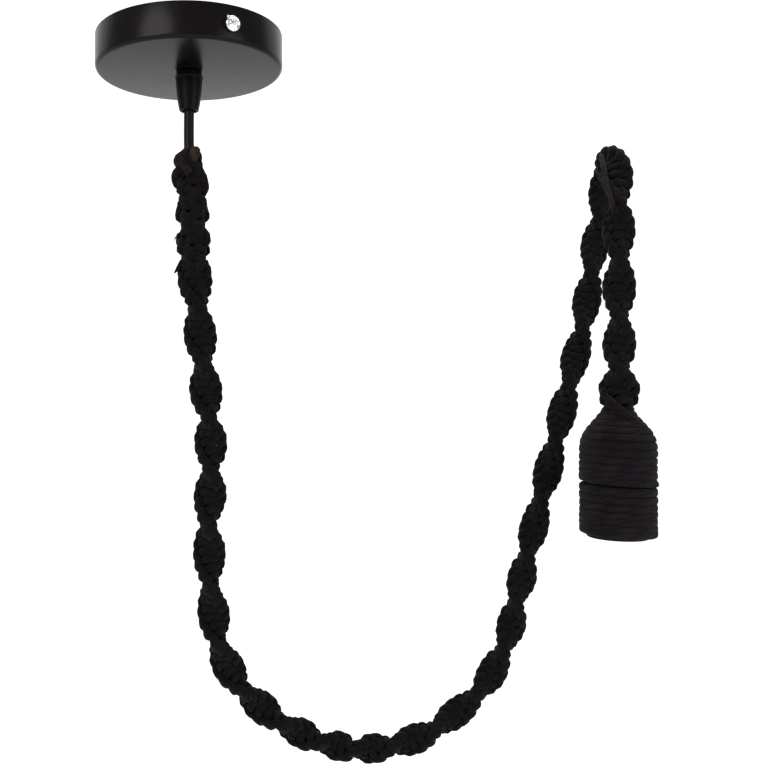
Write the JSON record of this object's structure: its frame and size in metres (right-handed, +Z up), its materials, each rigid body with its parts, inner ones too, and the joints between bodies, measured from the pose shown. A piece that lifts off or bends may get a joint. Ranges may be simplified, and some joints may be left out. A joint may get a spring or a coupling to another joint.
{
  "type": "pendant cord set",
  "caption": "Pendant cord set: a round black ceiling canopy with a cord grip, a flex under a spiral knotted rope cover, and a rope-wound screw lamp holder.",
  "frame": {"origin": "centre of the canopy on the ceiling, which is the middle of the bracket's flat top", "axes": "+Z up into the ceiling, +X from the canopy towards the hanging lamp holder, +Y to the back"},
  "size_m": [0.353, 0.12, 0.4721],
  "materials": {
    "canopy_paint": "satin",
    "zinc_steel": "satin",
    "chrome": "polished",
    "brass": "satin",
    "nylon": "matte",
    "black_plastic": "matte",
    "flex_sheath": "satin",
    "black_rope": "matte",
    "porcelain": "gloss",
    "live_insulation": "satin",
    "neutral_insulation": "satin",
    "earth_insulation": "satin"
  },
  "bodies": {
    "root": {"ceiling_canopy": "canopy_paint", "ceiling_bracket": "zinc_steel", "side_screw_front": "chrome", "side_screw_rear": "chrome", "earth_screw": "brass", "earth_ring": "brass", "terminal_block": "nylon", "terminal_block_screw": "zinc_steel", "live_core_upper": "live_insulation", "neutral_core_upper": "neutral_insulation", "earth_lead": "earth_insulation", "cord_grip_base": "black_plastic", "cord_grip_nut": "black_plastic", "cord_grip_collet": "nylon", "cord_grip_cap": "black_plastic", "flex": "flex_sheath", "knotted_cover": "black_rope", "end_knot": "black_rope", "holder_cap": "black_plastic", "holder_skirt": "black_plastic", "holder_nipple": "zinc_steel", "holder_nipple_nut": "zinc_steel", "holder_insert": "porcelain", "lamp_sleeve": "brass", "centre_contact": "brass", "live_post": "brass", "live_post_screw": "zinc_steel", "live_core_lower": "live_insulation", "neutral_post": "brass", "neutral_post_screw": "zinc_steel", "neutral_core_lower": "neutral_insulation", "upper_rope_wrap": "black_rope", "lower_rope_wrap": "black_rope", "live_barrel": "brass", "live_clamp_screw": "zinc_steel", "live_supply_screw": "zinc_steel", "earth_barrel": "brass", "earth_clamp_screw": "zinc_steel", "earth_supply_screw": "zinc_steel", "neutral_barrel": "brass", "neutral_clamp_screw": "zinc_steel", "neutral_supply_screw": "zinc_steel"}
  },
  "joints": []
}
